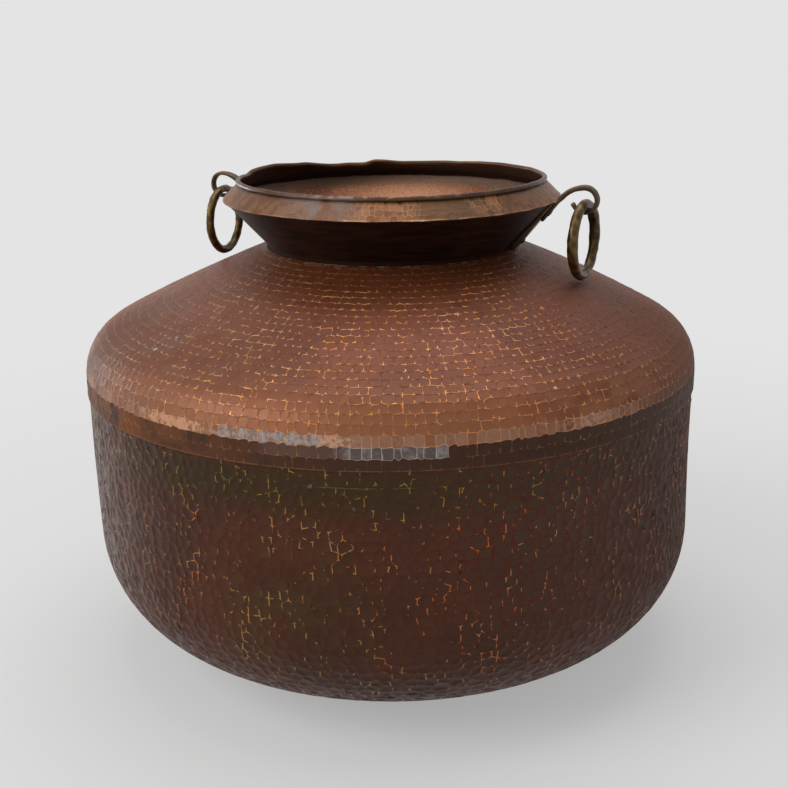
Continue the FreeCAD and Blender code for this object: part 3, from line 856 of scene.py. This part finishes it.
# the rim band, its lip rolled over a wire
band = {
    "seed": 21, "steps": 1200, "width": 0.0056, "sway": 0.6, "leanUp": 0.15, "leanDown": 0.15,
    "jitter": 0.0004, "curl": 0.08, "bowedUprights": True, "rowHeight": 0.0062,
    "border": 0.0006, "dish": 0.00008, "hollow": 0.00003,
    "tilt": 0.03, "lap": 0.0, "crisp": True, "downCorner": 0.9, "levelCorner": 0.6, "uprightCorner": 0.6,
    "rowTone": 0.0, "innerSteps": 288, "innerPace": 0.004,
    "channelSteps": 14, "rollSteps": 22, "rollGap": 0.0006, "rollSeam": 0.0004, "ridgeSeam": 0.0006,
    "cornerWear": 0.5, "wornShare": (1.20, 1.45), "wornEdge": (0.5, 0.9), "facetShare": 0.35,
    "deep": tint(98, 58, 30), "warm": tint(122, 75, 42), "pale": tint(144, 104, 72), "sootShare": 0.35,
    # the band's lining colour is painted shade: its inside is coloured near black, as it lies in shadow
    "soot": tint(56, 34, 20), "crease": tint(70, 42, 24), "creaseShare": 0.4, "lining": tint(40, 21, 11),
    "bright": tint(210, 142, 80), "brightToo": tint(200, 154, 110), "roughness": 0.46, "metallic": 0.3,
    "coat": 0.03, "specular": 0.3,
    "golds": ({"spot": (0.050, -0.148, 0.462), "reach": 0.048},
              {"spot": (0.122, -0.0925, 0.464), "reach": 0.03}),
    "goldWear": (0.15, 0.5), "goldFade": (0.1, 0.6),
    "gold": {"fade": (0.1, 0.7), "facets": (0.0, 0.8), "share": 0.4, "colour": tint(170, 116, 76)},
    # the bright ridge edge is worn metal, with a painted highlight that grows toward the front
    "edge": {"height": (0.0003, 0.0014), "patches": (0.42, 0.6), "bright": tint(188, 142, 116)},
    "seen": {"spot": (0.04, -0.16, 0.452), "reach": 0.16, "plain": 0.3, "more": 0.7},
    "underHem": {"depth": (0.0042, 0.0015, 0.0008), "share": 0.8, "colour": tint(44, 34, 14)},
    # painted sheen: greyish mauve patches on the band's left front, where light falls on it
    "mauveSheen": {"spot": (-0.010, -0.154, 0.462), "reach": 0.06, "broken": (0.3, 0.55), "share": 0.75,
              "colour": tint(122, 110, 104)},
    "olive": {"spot": (0.110, -0.110, 0.462), "reach": 0.07, "share": 0.6, "colour": tint(84, 62, 36),
              "dull": 0.5},
    "roll": {"height": (-0.0015, 0.0005), "share": 0.75},
    # painted highlight: light bits on the lip's dark roll toward the front, where the light catches it
    "rubbed": {"spot": (0.03, -0.145, 0.47), "reach": 0.16, "cloud": (0.007, 3, 61), "fade": (0.48, 0.64)},
    "lipHighlightTones": (tint(52, 33, 18), tint(138, 120, 108)),
}


def bandZones(finish, marks, colour, worn, bright):
    z, patches, facet = (marks[mark] for mark in ("z", "patches", "facet"))
    ridge, lip = rim["ridge"].y, rim["lip"].y
    plain, more = band["goldWear"]
    gold = finish.most(*(finish.zone(marks, plan) for plan in band["golds"]))
    worn = worn * (plain + finish.step(gold, *band["goldFade"]) * more)
    edge = 1 - finish.step(z, *(ridge + height for height in band["edge"]["height"]))
    # worn ridge edge plus a painted highlight toward the front
    seen = band["seen"]["plain"] + finish.zone(marks, band["seen"]) * band["seen"]["more"]
    worn = finish.most(worn, edge * finish.step(patches, *band["edge"]["patches"]) * seen)
    bright = finish.blend(edge, bright, band["edge"]["bright"])
    low, high, soft = band["underHem"]["depth"]
    colour = finish.washed(colour, finish.belt(z, lip - low, lip - high, soft), band["underHem"])
    colour = finish.washed(colour, finish.zone(marks, band["mauveSheen"]), band["mauveSheen"])
    olive = finish.zone(marks, band["olive"])
    colour = finish.washed(colour, olive, band["olive"])
    golden = finish.step(gold, *band["gold"]["fade"]) * finish.step(facet, *band["gold"]["facets"])
    colour = finish.washed(colour, golden, band["gold"])
    roll = finish.step(z, *(lip + height for height in band["roll"]["height"]))
    # painted highlights on the lip's roll, near the front
    plan = band["rubbed"]
    rubbed = finish.step(finish.cloud(*plan["cloud"]), *plan["fade"])
    lipTone = finish.blend(rubbed * finish.near(plan["spot"], plan["reach"]), *band["lipHighlightTones"])
    colour = finish.blend(roll * band["roll"]["share"], colour, lipTone)
    return colour, worn * (1 - roll), bright, olive * band["olive"]["dull"]


def makeRimBand():
    hemStart = heading(leftOf(bandWay))
    hemEnd = hemStart - 2 * math.pi + math.acos((rim["wire"] - rim["hemGap"]) / hemRadius)
    channel = arcRun(rim["lip"], rim["wire"], hemStart, hemEnd, band["channelSteps"])
    roll = arcRun(rim["lip"], hemRadius, hemEnd, hemStart, band["rollSteps"])
    rollGap = bandWay * band["rollGap"]
    outside = [rim["ridge"], channel[0] - rollGap]
    bm = beaten(paced(outside, band["rowHeight"]), band)
    inside = [bandInside, roll[-1] + (bandInside - roll[-1]) * 0.5, roll[-1] - rollGap]
    rolled(bm, channel + roll, band["innerSteps"])
    rolled(bm, paced(inside, band["innerPace"]), band["innerSteps"], inside=1.0)
    bridge(bm, outside[-1], channel[0], band["rollSeam"])
    bridge(bm, roll[-1], roll[-1] - rollGap, band["rollSeam"])
    bridge(bm, bandInside, rim["ridge"], band["ridgeSeam"])
    finish = beatenCopper("wornBand", band, bandZones)
    settle(bm, "rim_band_beaten", finish, "pot", ["rim_band"], rimPlace)


lipWire = {
    "fit": 0.96, "sides": 10, "steps": 240,
    "grain": (0.003, 3, 2), "tones": (tint(90, 60, 36), tint(128, 88, 54)),
    "roughness": 0.45, "grainRoughness": 0.2, "metallic": 0.5,
}


def makeLipWire():
    bm = bmesh.new()
    section = arcRun(rim["lip"], rim["wire"] * lipWire["fit"], 0, 2 * math.pi, lipWire["sides"])
    rolled(bm, section, lipWire["steps"])
    bmesh.ops.remove_doubles(bm, verts=bm.verts[:], dist=samePlace)
    finish = Finish("plainWire")
    grain = finish.cloud(*lipWire["grain"])
    roughness = lipWire["roughness"] + (grain - 0.5) * lipWire["grainRoughness"]
    wire = finish.close(finish.blend(grain, *lipWire["tones"]), roughness, lipWire["metallic"])
    settle(bm, "lip_wire_bent", wire, "pot", ["lip_wire"], rimPlace)


# a handle is a strap, a forged hook riveted on it, and a ring
strapPlan = {"start": 0.0035, "short": 0.0015, "footThickness": 0.005, "tipThickness": 0.0018}
bar = {"width": 0.0075, "thickness": 0.005, "squareness": 0.55, "sides": 20}
shank = {
    "lap": 0.0224, "width": 0.0095, "thickness": 0.003, "pastRidge": 0.001, "swell": 0.0045,
    "tip": 0.0004, "tipShare": 0.9, "stations": (0.006, 0.012), "beforeSwell": 0.003,
}
bend = {
    "arch": 0.029, "archSteps": 16, "slimFrom": 0.3,
    "eye": 0.0115, "eyeTurn": math.radians(235), "eyeSteps": 28, "eyeSlim": 0.78, "slimSpan": (0.1, 0.9),
    "eyeNarrowing": 0.25, "stub": 0.0045,
    "stubStations": ((0.5, 0.0054, 0.0042), (0.85, 0.0048, 0.0038), (1.0, 0.0036, 0.0028)),
}
# hammer flats on the bent part of a hook
hookBeat = {"scale": 170, "out": 0.00035, "rise": 0.0003, "riseSeed": 5, "from": 0.4515, "full": 0.4600}
rings = {
    "right": {"azimuth": 0.0, "rod": 0.005, "apex": 1.0, "seed": 2.0},
    "left": {"azimuth": math.radians(176), "rod": 0.0042, "apex": 0.72, "seed": 6.0},
}
ringForm = {
    "sides": 20, "steps": 112, "wornDepth": 0.10, "wornReach": 0.014, "swell": 0.12, "swellScale": 34,
    "fullest": 1.06, "beat": 0.0005,
}


def onFlare(along, out):
    return rim["neck"] + flare * along + flareOut * out


strapEnd = (collarTop - rim["neck"]).length - strapPlan["short"]
strapFoot = onFlare(strapPlan["start"], strapPlan["footThickness"])
strapWay = (onFlare(strapEnd, strapPlan["tipThickness"]) - strapFoot).normalized()
strapOut = -leftOf(strapWay)
ridgeAlong = (rim["ridge"] - strapFoot).dot(strapWay)


def hookStations(apex):  # middle, direction, width and thickness along the bar
    lift = shank["thickness"] / 2
    start = ridgeAlong - shank["lap"]
    swell = ridgeAlong + shank["pastRidge"]
    turn = heading(strapWay)
    stations = []
    flat = [start, start + shank["tip"], *(start + along for along in shank["stations"])]
    for along in flat + [swell - shank["beforeSwell"], swell]:
        share = shank["tipShare"] if along == start else 1.0
        middle = strapFoot + strapWay * along + strapOut * lift
        stations.append((middle, turn, shank["width"] * share, shank["thickness"] * share))
    archStart = strapFoot + strapWay * (swell + shank["swell"]) + strapOut * lift
    archCentre = archStart + strapOut * bend["arch"]
    for i in range(bend["archSteps"] + 1):
        along = i / bend["archSteps"]
        angle = turn * (1 - along)
        middle = archCentre + leftOf(toward(angle)) * bend["arch"]
        slim = 1 - (1 - apex) * smooth(along, bend["slimFrom"], 1.0)
        stations.append((middle, angle, bar["width"], bar["thickness"] * slim))
    eyeCentre = archCentre + Vector((0, bend["arch"] - bend["eye"]))
    for i in range(1, bend["eyeSteps"] + 1):
        angle = -bend["eyeTurn"] * i / bend["eyeSteps"]
        middle = eyeCentre + leftOf(toward(angle)) * bend["eye"]
        slim = apex + (bend["eyeSlim"] - apex) * smooth(i / bend["eyeSteps"], *bend["slimSpan"])
        width = bar["width"] * (1 - bend["eyeNarrowing"] * i / bend["eyeSteps"])
        stations.append((middle, angle, width, bar["thickness"] * slim))
    way = toward(-bend["eyeTurn"])
    stubStart = stations[-1][0]
    for share, width, thickness in bend["stubStations"]:
        stations.append((stubStart + way * bend["stub"] * share, -bend["eyeTurn"], width, thickness))
    return stations


def forged(stations):  # one closed bar through the stations, each a rounded rectangle
    bm = bmesh.new()
    loop = bmesh.ops.create_circle(bm, cap_ends=False, segments=bar["sides"], radius=1)["verts"]
    shape = [(vert.co.x, vert.co.y) for vert in loop]
    edges = bm.edges[:]

    def lay(verts, station):
        middle, angle, width, thickness = station
        out = leftOf(toward(angle))
        for vert, (sideways, outward) in zip(verts, shape):
            wide = math.copysign(abs(sideways) ** bar["squareness"], sideways) * width / 2
            deep = math.copysign(abs(outward) ** bar["squareness"], outward) * thickness / 2
            spot = middle + out * deep
            vert.co = Vector((spot.x, wide, spot.y))

    lay(loop, stations[0])
    bmesh.ops.edgeloop_fill(bm, edges=edges)
    verts = loop
    for station in stations[1:]:
        grown = bmesh.ops.extrude_edge_only(bm, edges=edges)["geom"]
        fresh = []
        for vert in verts:
            others = (edge.other_vert(vert) for edge in vert.link_edges)
            fresh.append(next(other for other in others if other in grown and other not in verts))
        edges = [item for item in grown if isinstance(item, bmesh.types.BMEdge)
                 and all(vert in fresh for vert in item.verts)]
        lay(fresh, station)
        verts = fresh
    bmesh.ops.edgeloop_fill(bm, edges=edges)
    return bm


def dented(place, seed, depth):  # small hammer flats on a forged rod
    return noise.noise(place * hookBeat["scale"] + Vector((seed, 0, 0))) * depth


handleLooks = {
    "hook": {"deep": tint(34, 26, 16), "warm": tint(56, 43, 27), "rubbed": tint(86, 66, 43),
             "bright": tint(150, 120, 80),
             "roughness": 0.44, "metallic": 0.4, "specular": 0.4, "shade": 0.7},
    "ring": {"deep": tint(40, 28, 11), "warm": tint(56, 41, 18), "rubbed": tint(104, 78, 40),
             "bright": tint(180, 142, 80),
             "roughness": 0.36, "metallic": 0.6, "specular": 0.4, "shade": 0.0},
    "rivet": {"deep": tint(48, 28, 16), "warm": tint(78, 48, 28), "rubbed": tint(120, 84, 52),
              "bright": tint(170, 122, 76),
              "roughness": 0.48, "metallic": 0.4, "specular": 0.4, "shade": 0.5},
    "solder": {"deep": tint(24, 12, 6), "warm": tint(38, 20, 10), "rubbed": tint(56, 38, 24),
               "bright": tint(44, 26, 15),
               "roughness": 0.85, "metallic": 0.0, "specular": 0.05, "shade": 0.0},
}
# what the metals of the handles share
handleMetal = {
    "patches": (0.010, 4, 3), "warmth": (0.35, 0.65),
    "grain": (0.0012, 4, 8), "grainRoughness": 0.3, "relief": 0.00025,
    "rubs": (0.006, 3, 6), "rubbed": (0.55, 0.72), "rubbedShare": 0.6,
    "edges": (0.51, 0.56), "edgeShare": 0.5,
    "shadeBelow": (0.016, 0.002), "shadeTone": tint(24, 15, 8),  # below the ridge
}
easing = {"loose": 2e-6, "flat": math.radians(3), "corner": math.radians(32), "segments": 2, "sharp": 50,
          "strap": 0.0005, "fastener": 0.0002}
# each brazed seam runs with the sheet that it joins
brazes = {"shoulder_seam_braze": bodyPlace, "neck_seam_braze": collarPlace, "ridge_seam_braze": rimPlace}


def handleFinish(name, look):
    finish = Finish(name)
    patches, grain, rubs = (finish.cloud(*handleMetal[cloud]) for cloud in ("patches", "grain", "rubs"))
    edges = finish.step(finish.node("NewGeometry", out="Pointiness"), *handleMetal["edges"])
    colour = finish.blend(finish.step(patches, *handleMetal["warmth"]), look["deep"], look["warm"])
    rubbed = finish.step(rubs, *handleMetal["rubbed"]) * handleMetal["rubbedShare"]
    colour = finish.blend(rubbed, colour, look["rubbed"])
    colour = finish.blend(edges * handleMetal["edgeShare"], colour, look["bright"])
    shadeSpan = (rim["ridge"].y - below for below in handleMetal["shadeBelow"])
    shaded = 1 - finish.step(finish.height(), *shadeSpan)
    colour = finish.blend(shaded * look["shade"], colour, handleMetal["shadeTone"])
    roughness = look["roughness"] + (grain - 0.5) * handleMetal["grainRoughness"]
    return finish.close(colour, roughness, look["metallic"], grain * 0.5 + patches, handleMetal["relief"],
                        Specular_IOR_Level=look["specular"])


def nodeCopy(node):  # a node's own mesh, with its loose triangles joined up
    bm = bmesh.new()
    bm.from_mesh(frame["nodes"][node].data)
    bmesh.ops.remove_doubles(bm, verts=bm.verts[:], dist=easing["loose"])
    return bm


def softened(node, finish, width):  # a node's own shape with its edges eased
    bm = nodeCopy(node)
    bmesh.ops.dissolve_limit(bm, angle_limit=easing["flat"], verts=bm.verts[:], edges=bm.edges[:])
    edges = [edge for edge in bm.edges if edge.is_manifold and edge.calc_face_angle() > easing["corner"]]
    bmesh.ops.bevel(bm, geom=edges, offset=width, segments=easing["segments"], profile=0.5, affect="EDGES",
                    material=-1, clamp_overlap=True)
    body = frame["nodes"][node]["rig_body"]
    settle(bm, node + "_eased", finish, body, [node], sharp=easing["sharp"])


def makeHook(side, finish):
    plan = rings[side]
    bm = forged(hookStations(plan["apex"]))
    turn = Matrix.Rotation(plan["azimuth"], 3, "Z")

    def place(spot):
        amount = smooth(spot.z, hookBeat["from"], hookBeat["full"])
        beat = dented(spot, plan["seed"], hookBeat["out"]) * amount
        rise = dented(spot, plan["seed"] + hookBeat["riseSeed"], hookBeat["rise"])
        return turn @ (spot + outwards(spot) * beat + up * rise * amount)
    settle(bm, side + "_hook_forged", finish, "pot", [side + "_hook"], place)


def makeRing(side, finish):
    plan = rings[side]
    joint = next(item for item in frame["joints"] if item["name"] == side + "_ring_swing")
    top, axis = Vector(joint["pos_m"]), Vector(joint["axis"])
    low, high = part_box(side + "_ring")
    radius = (high.z - low.z) / 2 - plan["rod"]
    centre = top - up * radius
    across = axis.cross(up).normalized()
    bm = bmesh.new()
    loop = bmesh.ops.create_circle(bm, cap_ends=False, segments=ringForm["sides"], radius=plan["rod"])
    turn = Matrix((across, up, across.cross(up))).transposed()
    bmesh.ops.rotate(bm, verts=loop["verts"], cent=(0, 0, 0), matrix=turn)
    bmesh.ops.translate(bm, verts=loop["verts"], vec=top)
    bmesh.ops.spin(bm, geom=bm.verts[:] + bm.edges[:], cent=centre, axis=across, angle=2 * math.pi,
                   steps=ringForm["steps"], use_merge=True)
    bmesh.ops.remove_doubles(bm, verts=bm.verts[:], dist=samePlace)

    def place(spot):  # worn thin where it hangs, and never much past its drawn thickness
        flat = spot - centre
        flat -= across * flat.dot(across)
        middle = centre + flat.normalized() * radius
        worn = 1 - ringForm["wornDepth"] * smooth(spot.z, top.z - ringForm["wornReach"], top.z)
        wave = noise.noise(middle * ringForm["swellScale"] + Vector((plan["seed"], 0, 0)))
        swell = min(worn * (1 + wave * ringForm["swell"]), ringForm["fullest"])
        beat = dented(spot, plan["seed"], ringForm["beat"])
        return middle + (spot - middle) * swell + (spot - middle).normalized() * beat
    settle(bm, side + "_ring_forged", finish, side + "_ring", [side + "_ring"], place)


def makeHandles():
    finishes = {name: handleFinish(name + "Metal", look) for name, look in handleLooks.items()}
    for side in rings:
        softened(side + "_strap", finishes["hook"], easing["strap"])
        makeHook(side, finishes["hook"])
        for place in ("lower", "upper"):
            for fastener in ("_rivet", "_washer"):
                softened(side + "_" + place + fastener, finishes["rivet"], easing["fastener"])
        makeRing(side, finishes["ring"])
    for node, place in brazes.items():
        bm = nodeCopy(node)
        settle(bm, node + "_run", finishes["solder"], "pot", [node], place, easing["sharp"])


room = {
    "backdrop": tint(228, 228, 228),
    "floor": (0.66, 0.66, 0.66),
    "floorSize": 30,
    "plainShare": 0.45,
    "floorFade": 1.5,
    "air": (1.0, 0.98, 0.96),
    "airStrength": 0.36,
}
lamps = {
    "frontLeft": {"place": (-1.9, -2.2, 2.3), "target": (0, 0, 0.3), "size": 2.4, "power": 62},
    "overhead": {"place": (0.0, 0.5, 2.9), "target": (0, 0, 0.3), "size": 2.4, "power": 34},
    "left": {"place": (-2.4, 0.9, 0.35), "target": (0, 0, 0.15), "size": 0.7, "power": 15},
}
camera = {
    "place": Vector((0.4358, -1.1655, 0.6261)),
    "turn": math.radians(20.5),
    "pitch": math.radians(90 - 16.898),
    "roll": math.radians(-0.727),
    "lens": 58.075,
    "sensor": 36,
}


def makeStage():
    bpy.ops.mesh.primitive_plane_add(size=room["floorSize"])
    floor = bpy.context.object
    floor.name = "floor"
    finish = Finish("paleFloor")
    away = 1 - finish.near((0, 0, 0), room["floorFade"])
    lit = finish.node("BsdfDiffuse", {"Color": (*room["floor"], 1)})
    plain = finish.node("Emission", {"Color": (*room["backdrop"], 1)})
    share = finish.seen() * (room["plainShare"] + away * (1 - room["plainShare"]))
    finish.node("OutputMaterial", {"Surface": finish.node("MixShader", {0: share, 1: lit, 2: plain})})
    floor.data.materials.append(finish.material)


def makeLamp(name, plan):
    lamp = bpy.data.lights.new(name, "AREA")
    lamp.shape = "DISK"
    lamp.size = plan["size"]
    lamp.energy = plan["power"]
    lampObject = bpy.data.objects.new(name, lamp)
    bpy.context.collection.objects.link(lampObject)
    lampObject.location = plan["place"]
    away = Vector(plan["place"]) - Vector(plan["target"])
    lampObject.rotation_euler = away.to_track_quat("Z", "Y").to_euler()


def makeLight():
    for name, plan in lamps.items():
        makeLamp(name, plan)
    world = bpy.data.worlds.new("paleRoom")
    bpy.context.scene.world = world
    air = Finish("paleRoom", world)
    glow = air.node("Background", {"Color": (*room["air"], 1), "Strength": room["airStrength"]})
    plain = air.node("Background", {"Color": (*room["backdrop"], 1)})
    air.node("OutputWorld", {"Surface": air.node("MixShader", {0: air.seen(), 1: glow, 2: plain})})


def makeCamera():
    data = bpy.data.cameras.new("camera")
    data.lens = camera["lens"]
    data.sensor_width = camera["sensor"]
    viewer = bpy.data.objects.new("camera", data)
    bpy.context.collection.objects.link(viewer)
    turn = Matrix.Rotation(camera["turn"], 4, "Z") @ Matrix.Rotation(camera["pitch"], 4, "X")
    viewer.matrix_world = Matrix.Translation(camera["place"]) @ turn @ Matrix.Rotation(camera["roll"], 4, "Z")
    bpy.context.scene.camera = viewer


bpy.context.scene.view_settings.view_transform = "Standard"
makeCamera()
makeStage()
makeLight()
print("stage, light and camera stand")
makeBowl()
makeShoulder()
makeCollar()
makeRimBand()
makeLipWire()
print("bowl, shoulder, collar and rim stand")
makeHandles()
print("the pot is dressed")
